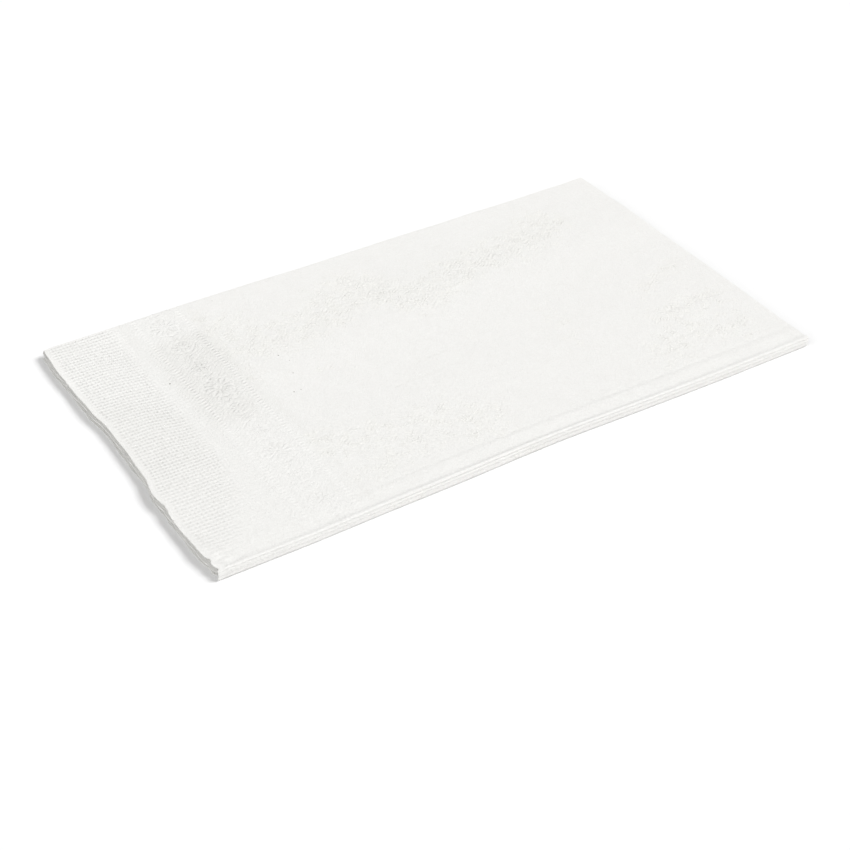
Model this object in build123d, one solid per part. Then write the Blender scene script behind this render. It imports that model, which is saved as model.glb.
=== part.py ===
from build123d import *
import math
import os

# A paper dinner napkin: one rectangular two-ply sheet, folded three times
# (an eighth fold), lying flat as it is put on a table. Millimetres, +Z up.
#   X  along the folded napkin. The loose cut edges are at -X and the nose of
#      the first fold is at +X.
#   Y  across it. The closed, rounded side, where the outer fold wraps round
#      the inner one, is at -Y. The far side at +Y has one fold and two
#      cut edges.
# The origin is under the middle of the bounding box, on the table.

# ---- the sheet as it was cut -------------------------------------------------
SHEET_X = 381.0        # 15 in, halved by the first fold
SHEET_Y = 431.8        # 17 in, halved twice by the second and third folds
LAYER = 0.25           # one two-ply embossed layer, its loose thickness

# ---- the first fold: a hairpin seen along Y ------------------------------------
LEAF_GAP = 0.12        # air between the two leaves of the folded sheet
HALF = LEAF_GAP / 2 + LAYER          # half the thickness of the double sheet
FOLDED_X = 190.9       # from the first fold's nose to the longer cut edge

# ---- the second and third folds: the path of the double sheet, seen along X ----
# Four panels lie over each other. From the table up they are the bottom
# panel, the lower inner, the upper inner and the top panel.
Z_BOTTOM = HALF        # middle of the bottom panel
Z_LOWER = 1.08         # middle of the lower inner panel
Z_UPPER = 1.85         # middle of the upper inner panel
Z_TOP = 2.70           # middle of the top panel
ROLL_R = 1.33          # outer fold at -Y, rounder than the stack is thick
Z_CREASE = 2.60        # middle of the top panel where it dips behind the roll
DIP_ANGLE = 4.6        # degrees, down from the roll to the dip, 6.8 mm in from -Y
DIP_R = 12.0           # radius of the dip
RISE_ANGLE = 1.2       # degrees, up from the dip to the flat of the top panel
RISE_R = 12.0          # radius where the rise ends
INNER_SETBACK = 1.2    # the inner fold stops this far short of the outer one
BOTTOM_SHORT = 0.6     # the bottom panel's cut edge, short of the far fold
LOWER_SHORT = 1.2      # the lower inner panel's cut edge, short of the far fold

FAR_R = (Z_TOP - Z_UPPER) / 2        # tight fold at +Y, top to upper inner
INNER_R = (Z_UPPER - Z_LOWER) / 2    # tight fold at -Y, upper to lower inner

# ---- section of the double sheet ------------------------------------------------
# The cut edge of the second leaf falls where the sheet's length puts it.
nose_mid_r = (LEAF_GAP + LAYER) / 2
nose_x0 = FOLDED_X - HALF            # distance from the long cut edge to the nose's centre
leaf_b = SHEET_X - nose_x0 - math.pi * nose_mid_r
cut_step = nose_x0 - leaf_b          # how far the two cut edges miss each other


def hairpin(plane):
    """The double sheet cut across: two leaves joined by a rounded nose."""
    x_long = -FOLDED_X / 2
    x_short = x_long + cut_step
    x_nose = x_long + nose_x0
    a = LEAF_GAP / 2
    outline = Wire([
        Edge.make_line((x_long, HALF), (x_nose, HALF)),
        Edge.make_three_point_arc((x_nose, HALF), (x_nose + HALF, 0), (x_nose, -HALF)),
        Edge.make_line((x_nose, -HALF), (x_short, -HALF)),
        Edge.make_line((x_short, -HALF), (x_short, -a)),
        Edge.make_line((x_short, -a), (x_nose, -a)),
        Edge.make_three_point_arc((x_nose, -a), (x_nose + a, 0), (x_nose, a)),
        Edge.make_line((x_nose, a), (x_long, a)),
        Edge.make_line((x_long, a), (x_long, HALF)),
    ])
    return plane.from_local_coords(Face(outline))


# ---- the path, as straight runs and tangent arcs in the YZ plane -----------------
def width_for_sheet():
    """The folded width that uses up exactly the sheet's length."""
    low, high = 100.0, 120.0
    for _ in range(60):
        mid = (low + high) / 2
        if sum(length for _, length in lengths(mid)) < SHEET_Y:
            low = mid
        else:
            high = mid
    return (low + high) / 2


a_dip = math.radians(DIP_ANGLE)
a_rise = math.radians(RISE_ANGLE)
z_roll_top = Z_BOTTOM + 2 * ROLL_R
dip_run = (z_roll_top - Z_CREASE - (ROLL_R + DIP_R) * (1 - math.cos(a_dip))) / math.sin(a_dip)
rise_run = (Z_TOP - Z_CREASE - (DIP_R + RISE_R) * (1 - math.cos(a_rise))) / math.sin(a_rise)


def lengths(width):
    """Every run of the path and its length, for a folded width."""
    roll_y = ROLL_R + HALF                     # centre of the outer fold, from -Y side
    flat_from = (roll_y + ROLL_R * math.sin(a_dip) + dip_run * math.cos(a_dip)
                 + DIP_R * (math.sin(a_dip) + math.sin(a_rise))
                 + rise_run * math.cos(a_rise) + RISE_R * math.sin(a_rise))
    inner_y = INNER_SETBACK + INNER_R + HALF   # centre of the inner fold, from -Y side
    far_y = width - FAR_R - HALF               # centre of the far fold, from -Y side
    return [
        ("bottom panel", width - BOTTOM_SHORT - roll_y),
        ("outer fold", ROLL_R * (math.pi + a_dip)),
        ("slope to the dip", dip_run),
        ("dip", DIP_R * (a_dip + a_rise)),
        ("rise", rise_run),
        ("end of rise", RISE_R * a_rise),
        ("top panel", far_y - flat_from),
        ("far fold", math.pi * FAR_R),
        ("upper inner panel", far_y - inner_y),
        ("inner fold", math.pi * INNER_R),
        ("lower inner panel", width - LOWER_SHORT - inner_y),
    ]


FOLDED_Y = width_for_sheet()
run = dict(lengths(FOLDED_Y))

# (kind, size, turn in degrees): a positive turn is to the left of the travel
steps = [
    ("line", run["bottom panel"], 0),
    ("arc", ROLL_R, -(180 + DIP_ANGLE)),
    ("line", run["slope to the dip"], 0),
    ("arc", DIP_R, DIP_ANGLE + RISE_ANGLE),
    ("line", run["rise"], 0),
    ("arc", RISE_R, -RISE_ANGLE),
    ("line", run["top panel"], 0),
    ("arc", FAR_R, -180),
    ("line", run["upper inner panel"], 0),
    ("arc", INNER_R, 180),
    ("line", run["lower inner panel"], 0),
]

# start at the bottom panel's cut edge on the +Y side, going towards -Y
y, z, heading = FOLDED_Y / 2 - BOTTOM_SHORT, Z_BOTTOM, 180.0
pieces = []
for kind, size, turn in steps:
    h = math.radians(heading)
    ahead = Vector(0, math.cos(h), math.sin(h))
    left = Vector(0, -math.sin(h), math.cos(h))
    at = Vector(0, y, z)
    section = hairpin(Plane(origin=at, x_dir=(1, 0, 0), z_dir=-ahead))
    if kind == "line":
        pieces.append(extrude(section, amount=size, dir=ahead))
        at = at + ahead * size
    else:
        side = 1 if turn > 0 else -1
        centre = at + left * (side * size)
        pieces.append(revolve(section, axis=Axis(centre, (side, 0, 0)),
                              revolution_arc=abs(turn)))
        heading += turn
        h2 = math.radians(heading)
        at = centre - Vector(0, -math.sin(h2), math.cos(h2)) * (side * size)
    y, z = at.Y, at.Z

folded_napkin = pieces[0].fuse(*pieces[1:]).clean().solids()[0]

os.makedirs("parts", exist_ok=True)
export_step(folded_napkin, "parts/folded_napkin.step")

box = folded_napkin.bounding_box()
print("folded width", round(FOLDED_Y, 3), "cut edges miss by", round(cut_step, 3))
print("path", {name: round(length, 3) for name, length in lengths(FOLDED_Y)},
      "sum", round(sum(length for _, length in lengths(FOLDED_Y)), 4))
print("end of path", round(y, 3), round(z, 3), "heading", round(heading, 3))
print("box", box.min, box.max)
print("solids", len(folded_napkin.solids()), "faces", len(folded_napkin.faces()),
      "volume", round(folded_napkin.volume, 1),
      "sheet area x layer", round(SHEET_X * SHEET_Y * LAYER, 1))
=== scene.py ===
import math

import bpy
import numpy as np
from mathutils import Matrix, Vector
from mathutils.geometry import delaunay_2d_cdt


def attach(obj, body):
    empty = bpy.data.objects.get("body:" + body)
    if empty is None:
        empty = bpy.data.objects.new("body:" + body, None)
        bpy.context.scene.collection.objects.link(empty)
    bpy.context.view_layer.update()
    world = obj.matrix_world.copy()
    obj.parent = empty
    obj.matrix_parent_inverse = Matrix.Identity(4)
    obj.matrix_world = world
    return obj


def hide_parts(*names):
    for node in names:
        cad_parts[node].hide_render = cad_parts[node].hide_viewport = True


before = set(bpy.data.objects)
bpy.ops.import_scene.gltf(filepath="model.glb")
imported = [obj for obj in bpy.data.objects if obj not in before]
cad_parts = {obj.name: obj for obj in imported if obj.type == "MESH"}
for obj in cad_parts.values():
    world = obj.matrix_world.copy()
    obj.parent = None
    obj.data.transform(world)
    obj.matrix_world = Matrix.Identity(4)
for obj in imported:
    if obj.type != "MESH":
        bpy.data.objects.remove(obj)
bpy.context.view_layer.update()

MM = 0.001
rng = np.random.default_rng(41)

# =============================================================================
# Camera
# =============================================================================
cam_data = bpy.data.cameras.new("camera")
cam_data.sensor_fit = "HORIZONTAL"
cam_data.sensor_width = 36.0
cam_data.lens = 75.26
cam_data.clip_start = 0.02
cam_data.clip_end = 20.0
cam = bpy.data.objects.new("camera", cam_data)
bpy.context.scene.collection.objects.link(cam)
right = Vector((0.8394474, -0.5430927, 0.0194530)).normalized()
ahead = Vector((0.4412507, 0.6602635, -0.6077417)).normalized()
up = right.cross(ahead)
place = Matrix((
    (right.x, up.x, -ahead.x, -0.23301),
    (right.y, up.y, -ahead.y, -0.34763),
    (right.z, up.z, -ahead.z, 0.29378),
    (0, 0, 0, 1),
))
cam.matrix_world = place
bpy.context.scene.camera = cam

# =============================================================================
# The sheet and its folds, in millimetres. The same sizes as the CAD solid.
#   a runs along the 381 mm side: leaf A, the nose of the first fold, leaf B.
#   b runs along the 431.8 mm side: the path of panels and folds in YZ.
# =============================================================================
SHEET_A, SHEET_B = 381.0, 431.8
LAYER, LEAF_GAP = 0.25, 0.12
HALF = LEAF_GAP / 2 + LAYER
FOLDED_X = 190.9
X_CUT = -FOLDED_X / 2
NOSE_R = (LEAF_GAP + LAYER) / 2
LEAF_A = FOLDED_X - HALF
NOSE = math.pi * NOSE_R
A_B = LEAF_A + NOSE                     # where leaf B starts

Z_BOTTOM, Z_LOWER, Z_UPPER, Z_TOP = HALF, 1.08, 1.85, 2.70
ROLL_R, Z_CREASE = 1.33, 2.60
DIP, RISE = math.radians(4.6), math.radians(1.2)
DIP_R = RISE_R = 12.0
SETBACK, BOTTOM_SHORT, LOWER_SHORT = 1.2, 0.6, 1.2
FAR_R = (Z_TOP - Z_UPPER) / 2
INNER_R = (Z_UPPER - Z_LOWER) / 2
dip_run = (Z_BOTTOM + 2 * ROLL_R - Z_CREASE - (ROLL_R + DIP_R) * (1 - math.cos(DIP))) / math.sin(DIP)
rise_run = (Z_TOP - Z_CREASE - (DIP_R + RISE_R) * (1 - math.cos(RISE))) / math.sin(RISE)


def runs(width):
    roll_y = ROLL_R + HALF
    flat_from = (roll_y + ROLL_R * math.sin(DIP) + dip_run * math.cos(DIP)
                 + DIP_R * (math.sin(DIP) + math.sin(RISE))
                 + rise_run * math.cos(RISE) + RISE_R * math.sin(RISE))
    inner_y = SETBACK + INNER_R + HALF
    far_y = width - FAR_R - HALF
    return [
        (width - BOTTOM_SHORT - roll_y, 0, 0),
        (ROLL_R * (math.pi + DIP), ROLL_R, -1),
        (dip_run, 0, 0),
        (DIP_R * (DIP + RISE), DIP_R, 1),
        (rise_run, 0, 0),
        (RISE_R * RISE, RISE_R, -1),
        (far_y - flat_from, 0, 0),
        (math.pi * FAR_R, FAR_R, -1),
        (far_y - inner_y, 0, 0),
        (math.pi * INNER_R, INNER_R, 1),
        (width - LOWER_SHORT - inner_y, 0, 0),
    ]


low, high = 100.0, 120.0
for _ in range(60):
    mid = (low + high) / 2
    low, high = (mid, high) if sum(r[0] for r in runs(mid)) < SHEET_B else (low, mid)
FOLDED_Y = (low + high) / 2

RUNS = runs(FOLDED_Y)
STEPS = []                              # b0, length, y, z, heading, radius, side
y, z, heading, b_at = FOLDED_Y / 2 - BOTTOM_SHORT, Z_BOTTOM, math.pi, 0.0
for length, radius, side in RUNS:
    STEPS.append((b_at, length, y, z, heading, radius, side))
    if radius:
        cy, cz = y - math.sin(heading) * side * radius, z + math.cos(heading) * side * radius
        heading += side * length / radius
        y, z = cy + math.sin(heading) * side * radius, cz - math.cos(heading) * side * radius
    else:
        y, z = y + math.cos(heading) * length, z + math.sin(heading) * length
    b_at += length
B0 = [s[0] for s in STEPS] + [SHEET_B]  # where each run starts along the sheet


def path(b):
    """Position, heading and the share of each panel, along the sheet."""
    y, z, h = np.zeros_like(b), np.zeros_like(b), np.zeros_like(b)
    share = np.zeros((4, b.size))       # bottom, lower, upper, top panel
    order = [0, None, 3, 3, 3, 3, 3, None, 2, None, 1]
    turns = {1: (0, 3), 7: (3, 2), 9: (2, 1)}
    for i, (b0, length, y0, z0, h0, radius, side) in enumerate(STEPS):
        last = i == len(STEPS) - 1
        on = (b >= b0 - 1e-9) & ((b < b0 + length) | last)
        s = b[on] - b0
        if radius:
            cy = y0 - math.sin(h0) * side * radius
            cz = z0 + math.cos(h0) * side * radius
            hh = h0 + side * s / radius
            y[on] = cy + np.sin(hh) * side * radius
            z[on] = cz - np.cos(hh) * side * radius
            h[on] = hh
        else:
            y[on] = y0 + math.cos(h0) * s
            z[on] = z0 + math.sin(h0) * s
            h[on] = h0
        if order[i] is None:
            t = np.clip(s / radius / math.pi, 0, 1)
            w = (1 - np.cos(math.pi * t)) / 2
            share[turns[i][0], on] = 1 - w
            share[turns[i][1], on] = w
        else:
            share[order[i], on] = 1
    return y, z, h, share


def top_b(y_mm):
    """Distance along the sheet of a point of the top panel, from its Y."""
    return B0[6] + (np.asarray(y_mm, float) - STEPS[6][2])


def under_b(y_mm):
    return STEPS[0][2] - np.asarray(y_mm, float)


# =============================================================================
# Soft shape: how far each layer leaves the plain fold
# =============================================================================
def ripple(seed, t, low, high, n=7):
    """A smooth random wave along t, mostly within -1 to 1."""
    r = np.random.default_rng(seed)
    out = np.zeros_like(t, dtype=float)
    for _ in range(n):
        lam = low * (high / low) ** r.random()
        out += r.uniform(0.6, 1.0) * np.sin(2 * math.pi * t / lam + r.uniform(0, 2 * math.pi))
    return out / math.sqrt(n) / 0.8


def smooth(e0, e1, t):
    s = np.clip((t - e0) / (e1 - e0), 0, 1)
    return s * s * (3 - 2 * s)


def bell(t, centre, width):
    return np.exp(-((t - centre) / width) ** 2)


GAPS = [0.12, 0.15, 0.12, 0.15, 0.12, 0.23, 0.12]     # air under layers 1 to 7
RISE_OF = np.concatenate([[0], np.cumsum(GAPS)]) / sum(GAPS)
BASE_LIFT = 0.02
STEP_IN = [-0.34, -0.10, 0.26, 0.06, -0.36, -0.16, 0.20, 0.0]    # cut edges miss each other
SQUARE = 5.0                            # 2 is a round fold, more is squarer


_b = np.linspace(B0[2], B0[7], 1500)
_y, _z, _, _ = path(_b)
PLAIN_Y, PLAIN_Z = _y, _z                # height of the plain top panel over its width
ROLL_Y, ROLL_Z = STEPS[1][2], STEPS[1][3] + ROLL_R   # centre of the outer fold


def near_profile(x, y):
    """The top panel behind the near fold: level, a fine crease, then a lip on the fold."""
    plain = np.interp(y, PLAIN_Y, PLAIN_Z)
    seam = -47.25 - 0.75 * smooth(10, 60, np.abs(x)) + 0.12 * np.sin(x / 17)
    wanted = (Z_TOP - (0.04 + 0.04 * smooth(20, 60, x)) * bell(y, seam + 0.9, 0.6) * smooth(-76, -30, x)
              + 0.17 * smooth(-76, -30, x) * smooth(0.6, -0.5, y - seam)
              - (0.09 + 0.19 * smooth(-76, -30, x)) * smooth(-48.0, -51.4, y)
              + 0.40 * smooth(-52.2, -53.95, y))
    return (wanted - plain) * smooth(-41.0, -43.5, y)


def top_swell(x, y):
    """How far the top layer stands above its flat place, in mm."""
    w = np.zeros_like(x)
    # one long low swell, a little askew, behind the middle of the panel
    crest = 18.5 + 0.09 * x
    along = smooth(-78, -30, x) * (1 - 0.45 * smooth(55, 96, x))
    w += 0.62 * along * bell(y, crest, 13.0)
    # gentle second swells
    w += 0.20 * bell(y, -22 + 0.05 * x, 15) * (0.6 + 0.4 * np.sin(x / 31 + 0.7))
    w += 0.10 * np.sin(x / 23.0 + y / 17.0) * smooth(-88, -55, x)
    w += 0.07 * np.sin(x / 13.5 - y / 21.0 + 1.3) * smooth(-88, -55, x)
    # the near fold is puffed up along its middle
    w += 0.36 * bell(x, 4, 42) * smooth(-52.3, -53.7, y)
    # the far left corner falls away beyond a soft crease
    line = 52.6 - 0.11 * (x + 94)
    w -= 0.06 * smooth(0.0, 5.5, y - line + 2.2) * bell(x, -95, 22)
    w -= 0.42 * bell(np.hypot(x + 97, y - 56.5), 0, 3.8)
    # the near left corner is loose and a little crumpled
    near = bell(x, -94, 5.5) * bell(y, -51.5, 5.0)
    w += near * (0.10 + 0.15 * np.sin(x * 1.15 + y * 0.9) + 0.10 * np.sin(y * 1.9 - x * 0.6))
    w -= 0.42 * bell(np.hypot(x + 96.2, y + 54.6), 0, 2.6)
    return w


def eased(y, points, width=1.6):
    """A curve through measured points, y against shift, with its corners eased."""
    ys, vs = np.array(points, float).T
    return sum(np.interp(y + s * width, ys, vs) * w for s, w in ((-1, 0.2), (-0.5, 0.2), (0, 0.2), (0.5, 0.2), (1, 0.2)))


# how far the top leaf's cut edge stands out past the plain fold, from near to far
CUT_LINE = ((-60, -0.9), (-53, -0.9), (-50, -1.0), (-46, -1.7), (-33, -1.75), (-30, -1.85), (-26, -1.0),
            (-22, -1.75), (-18, -1.5), (-14, -0.45), (-10, -0.2), (-2, 0.2), (6, 0.45), (14, 0.45),
            (18, -0.35), (30, -0.42), (46, -0.4), (49, 0.0), (52, 0.05), (60, 0.2))
NOSE_LINE = ((-60, 0.5), (-54, 0.4), (-49, 0.1), (-30, 0.15), (-14, 0.35), (8, 0.4), (20, 0.2), (34, 0.05),
             (44, -0.12), (60, -0.5))


def layer_shift(x, y):
    """dx, dy, dz of the eight layers at plan positions x, y (8 x n arrays)."""
    n = x.size
    from_cut = np.maximum(x - X_CUT, 0)
    cut = bell(from_cut, 0, 9.0)                          # near the cut edges at -X
    cut_tight = bell(from_cut, 0, 3.5)
    far = bell(np.maximum(FOLDED_Y / 2 - y, 0), 0, 5.0)   # near the far side
    nose = bell(np.maximum(-X_CUT - x, 0), 0, 5.0)
    swell = top_swell(x, y)
    dx, dy, dz = np.zeros((8, n)), np.zeros((8, n)), np.zeros((8, n))
    lift = (BASE_LIFT + cut * 0.05 * np.clip(0.55 + 0.6 * ripple(11, y, 30, 80), 0, 2)
            + nose * 0.06 * np.clip(0.5 + 0.6 * ripple(12, y, 25, 60), 0, 2)
            + far * 0.05 * np.clip(0.4 + 0.6 * ripple(13, x, 30, 90), 0, 2))
    # the cut edges stand out a little more towards the near corner
    flare = eased(y, CUT_LINE)
    nose_out = eased(y, NOSE_LINE, 3.0)
    bow = 1.05 * bell(x, 4, 42) - 0.70 + 0.06 * ripple(22, x, 30, 90)
    # the top sheet was dragged a little askew behind its coin edge
    skew = (-1.5 * smooth(-86.5, -75.5, x) * (1 - smooth(-74.5, -66, x)) * smooth(-20, 2, y)
            * (1 - smooth(40, 53, y)) + 0.16 * bell(x, -85, 10) * np.sin(y / 4.6 + x / 7.0))
    height = lift.copy()
    cling = bell(from_cut, 0, 5.5)
    for k in range(8):
        if k:
            # at the cut edges the two leaves of a panel cling, and the panels part
            own = np.clip(0.62 + 0.75 * ripple(30 + k, y, 12, 40), -0.15, 2.2)
            if k % 2:
                height = height - cling * 0.075 + cut_tight * 0.02 * np.clip(ripple(50 + k, y, 7, 18), -0.3, 2)
            else:
                height = height + cling * (0.05 + 0.15 * own)
            height = height + far * 0.02 * np.clip(0.5 + 0.7 * ripple(70 + k, x, 15, 50), 0, 2)
            height = height + nose * 0.02 * np.clip(0.5 + 0.7 * ripple(90 + k, y, 12, 40), 0, 2)
        dz[k] = height + RISE_OF[k] * swell
        dx[k] = (cut * flare * (0.80 + 0.20 * k / 7)
                 + cut_tight * STEP_IN[k]
                 + cut_tight * (0.20 if k < 6 else 0.05 if k == 7 else 0.10) * ripple(110 + k // 2 * 3, y, 9, 40)
                 + cut_tight * (0.07 if k < 7 else 0.03) * ripple(310 + k, y, 5, 18)
                 + nose * (nose_out * (0.4 + 0.6 * k / 7) + 0.06 * ripple(130 + k // 2, y, 25, 70)))
        dy[k] = smooth(-46.0, -53.0, y) * bow + far * 0.05 * ripple(150 + k // 2, x, 25, 90) + (skew if k > 5 else 0.0)
    # the far left corner is blunt
    blunt = np.clip(1 - np.hypot(x - X_CUT, y - FOLDED_Y / 2) / 3.6, 0, 1) ** 1.6
    dx[2:] += 0.40 * blunt
    dy[2:] -= 0.15 * blunt
    # the near left corner has been knocked: its layers stand out unevenly
    knock = bell(from_cut, 0, 3.4) * smooth(-47.0, -51.0, y)
    for k in range(8):
        dx[k] += knock * (0.32 * np.sin(y * 2.0 + 1.9 * k) + 0.09 * np.sin(y * 3.7 + 2.3 * k) - 0.10 * (k % 3 - 1))
    # the cut edge of the top leaf turns up a very little
    dz[7] += bell(from_cut, 0, 0.9) * (0.09 * smooth(14, -4, y) - 0.05 * smooth(2, 20, y))
    near = near_profile(x, y)
    dz[6] += near
    dz[7] += near
    return dx, dy, dz


def fold(a, b, off):
    """Where a point of the sheet lies: a, b on the flat sheet, off towards its outer side."""
    a, b, off = (np.asarray(v, float) for v in (a, b, off))
    phi = np.clip((a - LEAF_A) / NOSE, 0, 1) * math.pi
    x = np.where(a <= LEAF_A, X_CUT + a,
                 np.where(a < A_B, X_CUT + LEAF_A + NOSE_R * np.sin(phi),
                          X_CUT + LEAF_A - (a - A_B)))
    n = NOSE_R * np.cos(phi) + off * np.cos(phi)
    x = x + off * np.sin(phi)
    py, pz, h, panel = path(b)
    y = py - n * np.sin(h)
    z = pz + n * np.cos(h)
    # the outer fold is pressed square: its upper corner stands out
    on = (b > B0[1]) & (b < B0[2])
    ry, rz = y - ROLL_Y, z - ROLL_Z
    r = np.maximum(np.hypot(ry, rz), 1e-9)
    g = (np.abs(ry / r) ** SQUARE + np.abs(rz / r) ** SQUARE) ** (-1 / SQUARE)
    y, z = np.where(on, ROLL_Y + ry * g, y), np.where(on, ROLL_Z + rz * g, z)
    hollow = ((0.36 * bell(z, 2.52 + 0.08 * np.sin(x / 19), 0.27) + 0.20 * bell(z, 1.42 + 0.14 * np.sin(x / 27 + 2), 0.28))
              * (0.7 + 0.3 * bell(x, 2, 45)))
    y = np.where(on & (y < ROLL_Y), y + hollow * smooth(ROLL_Y, ROLL_Y - 1.2, y), y)
    leaf_b = (1 - np.cos(phi)) / 2
    share = np.zeros((8, a.size))
    for p, (k_a, k_b) in enumerate(((0, 1), (3, 2), (4, 5), (7, 6))):
        share[k_a] += panel[p] * (1 - leaf_b)
        share[k_b] += panel[p] * leaf_b
    dx, dy, dz = layer_shift(x, y)
    return np.stack([x + (share * dx).sum(0), y + (share * dy).sum(0), z + (share * dz).sum(0)], 1)


# =============================================================================
# Embossing, pressed in from the outer side of the sheet
# =============================================================================
COIN_A, COIN_B = 1.06, 1.33             # pitch of the coin-edge pits
COIN_W = 20.6                           # width of the coin-edge border
ROPE_1, ROPE_2, ROPE_PITCH = 27.45, 41.2, 1.27
BAND_MID, BAND_PITCH = 34.4, 11.25
PX = 0.1                                # raster pitch of the drawn ornament, mm
NA, NB = int(192.5 / PX), int((B0[7] + 1.0) / PX)
relief = np.zeros((NA, NB), np.float32)
strokes = []                            # (points n x 2 in a,b, depth, width)


def arc_points(cx, cy, r, t0, t1, ry=None, turn=0.0, n=None):
    ry = r if ry is None else ry
    n = n or max(8, int(abs(t1 - t0) * max(r, ry) / 0.25))
    t = np.linspace(t0, t1, n)
    px, py = r * np.cos(t), ry * np.sin(t)
    c, s = math.cos(turn), math.sin(turn)
    return np.stack([cx + px * c - py * s, cy + px * s + py * c], 1)


def leaf_points(x, y, ang, length, width):
    """An almond-shaped outline with its stalk end at x, y."""
    t = np.linspace(0, 1, 14)
    half = width / 2 * np.sin(math.pi * t ** 0.85)
    up_side = np.stack([t * length, half], 1)
    down_side = np.stack([t[::-1] * length, -half[::-1]], 1)
    p = np.concatenate([up_side, down_side])
    c, s = math.cos(ang), math.sin(ang)
    return np.stack([x + p[:, 0] * c - p[:, 1] * s, y + p[:, 0] * s + p[:, 1] * c], 1)


def curve(points, n=14):
    """A smooth line through points (Catmull-Rom)."""
    p = np.asarray(points, float)
    p = np.concatenate([[2 * p[0] - p[1]], p, [2 * p[-1] - p[-2]]])
    out = []
    for i in range(1, len(p) - 2):
        t = np.linspace(0, 1, n, endpoint=False)[:, None]
        out.append(0.5 * (2 * p[i] + (p[i + 1] - p[i - 1]) * t
                          + (2 * p[i - 1] - 5 * p[i] + 4 * p[i + 1] - p[i + 2]) * t ** 2
                          + (3 * p[i] - p[i - 1] - 3 * p[i + 1] + p[i + 2]) * t ** 3))
    out.append(p[-2][None])
    return np.concatenate(out)


def add(lines, depth, width=0.27):
    for p in lines:
        strokes.append((np.asarray(p, float), depth, width))


def clear_of_border(p):
    return p.min() > ROPE_2 + 1.3


flower_b = float(top_b(12.25))


def garland(points, width, to_b, depth, seed, shift=(0, 0), thin=1, step=2.6):
    """A winding band of small leaves about a stem, given in plan x, y."""
    r = np.random.default_rng(seed)
    line = curve(points) + np.array(shift, float)
    to_sheet = lambda p: np.stack([p[:, 0] - X_CUT, to_b(p[:, 1])], 1)
    stem = to_sheet(line)
    inner = stem[stem.min(1) > ROPE_2 + 1.3]
    if len(inner) > 1:
        add([inner], depth * 0.85, 0.27)
    seg = np.hypot(*np.diff(line, axis=0).T)
    s = np.concatenate([[0], np.cumsum(seg)])
    for i, at in enumerate(np.arange(0.8, s[-1] - 0.4, step)):
        x, y = np.interp(at, s, line[:, 0]), np.interp(at, s, line[:, 1])
        k = min(max(np.searchsorted(s, at), 1), len(line) - 1)
        d = (line[k] - line[k - 1]) / max(seg[k - 1], 1e-6)
        head = math.atan2(d[1], d[0])
        for side in (-1, 1):
            off = 0.7
            while off + 0.9 < width / 2:
                o = off + r.uniform(-0.25, 0.35)
                length = r.uniform(1.5, 2.6)
                ang = head + side * r.uniform(0.55, 1.15)
                turn = side * r.uniform(-0.5, 0.25) if r.random() < 0.6 else r.choice((-1, 1)) * r.uniform(1.8, 3.4)
                x0, y0 = x - d[1] * side * o + r.uniform(-0.4, 0.4), y + d[0] * side * o + r.uniform(-0.4, 0.4)
                u = np.linspace(0, 1, 7)
                leaf = np.stack([x0 + length * u * np.cos(ang + turn * u), y0 + length * u * np.sin(ang + turn * u)], 1)
                strong = r.uniform(0.6, 1.0)
                if i % thin == 0 and clear_of_border(to_sheet(leaf)):
                    add([to_sheet(leaf)], depth * strong, 0.33)
                off += 2.1


def rosette(x, y, size, petals, to_b, depth, seed, shift=(0, 0)):
    """An open flower: a ring, thick petals and a scalloped rim, in plan x, y."""
    r = np.random.default_rng(seed)
    x, y = x + shift[0], y + shift[1]
    to_sheet = lambda p: np.stack([p[:, 0] - X_CUT, to_b(p[:, 1])], 1)
    turn = r.uniform(0, 1)
    out = [arc_points(x, y, 0.42, 0, 2 * math.pi, n=9)]
    for i in range(petals):
        ang = turn + 2 * math.pi * i / petals
        c, q = math.cos(ang), math.sin(ang)
        out.append(np.array([[x + size * 0.34 * c, y + size * 0.34 * q], [x + size * 0.86 * c, y + size * 0.86 * q]]))
        mid = ang + math.pi / petals
        out.append(arc_points(x + size * 1.0 * math.cos(mid), y + size * 1.0 * math.sin(mid),
                              size * 0.30, mid - 1.5, mid + 1.5, n=8))
    out = [to_sheet(p) for p in out]
    if all(clear_of_border(p) for p in out):
        add(out, depth, 0.32)


# the garlands of the field: points in plan x, y, then width and strength
BANDS = (
    ([(-48, 42), (-46.5, 37), (-43, 31), (-38, 27.5), (-32, 26.5), (-25, 27.5), (-18, 31), (-11, 34.5), (-4, 37)], 11.0, 0.68),
    ([(-4, 37), (0, 32.5), (3, 28), (6.5, 23.5), (9.5, 20.5)], 10.5, 0.85),
    ([(9.5, 18.5), (11, 16.3), (14, 18.2)], 4.0, 0.8),
    ([(14, 20.5), (18, 22.5), (24, 26), (33, 28.5), (42, 29), (52, 30.5), (62, 34), (68, 37.5)], 10.5, 0.78),
    ([(-50, -25), (-42, -27), (-33, -30), (-24, -30), (-14, -31), (-5, -36)], 9.5, 0.62),
    ([(-44, -42), (-35, -38), (-24, -37), (-15, -40), (-6, -42)], 8.5, 0.56),
    ([(40, -1), (38.5, -7), (39.5, -13), (37.5, -19), (38.5, -25)], 5.0, 0.45),
    ([(56, -40), (61, -36), (69, -35), (78, -38), (88, -40), (94, -42)], 9.0, 0.62),
    ([(66, -24), (72, -23), (80, -24), (88, -23.5), (94.5, -25)], 6.0, 0.7),
    ([(70, -12), (74, -8), (79, -7), (86, -4), (94, -2)], 5.5, 0.6),
    ([(-45, 7), (-38, 4), (-30, 4.5), (-23, 1)], 4.0, 0.3),
    ([(-51, 51), (-50.5, 38), (-51, 24), (-50, 10)], 4.5, 0.5),
    ([(-49, 25), (-40, 22.5), (-30, 22), (-20, 24.5), (-10, 28.5)], 8.0, 0.72),
)


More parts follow.
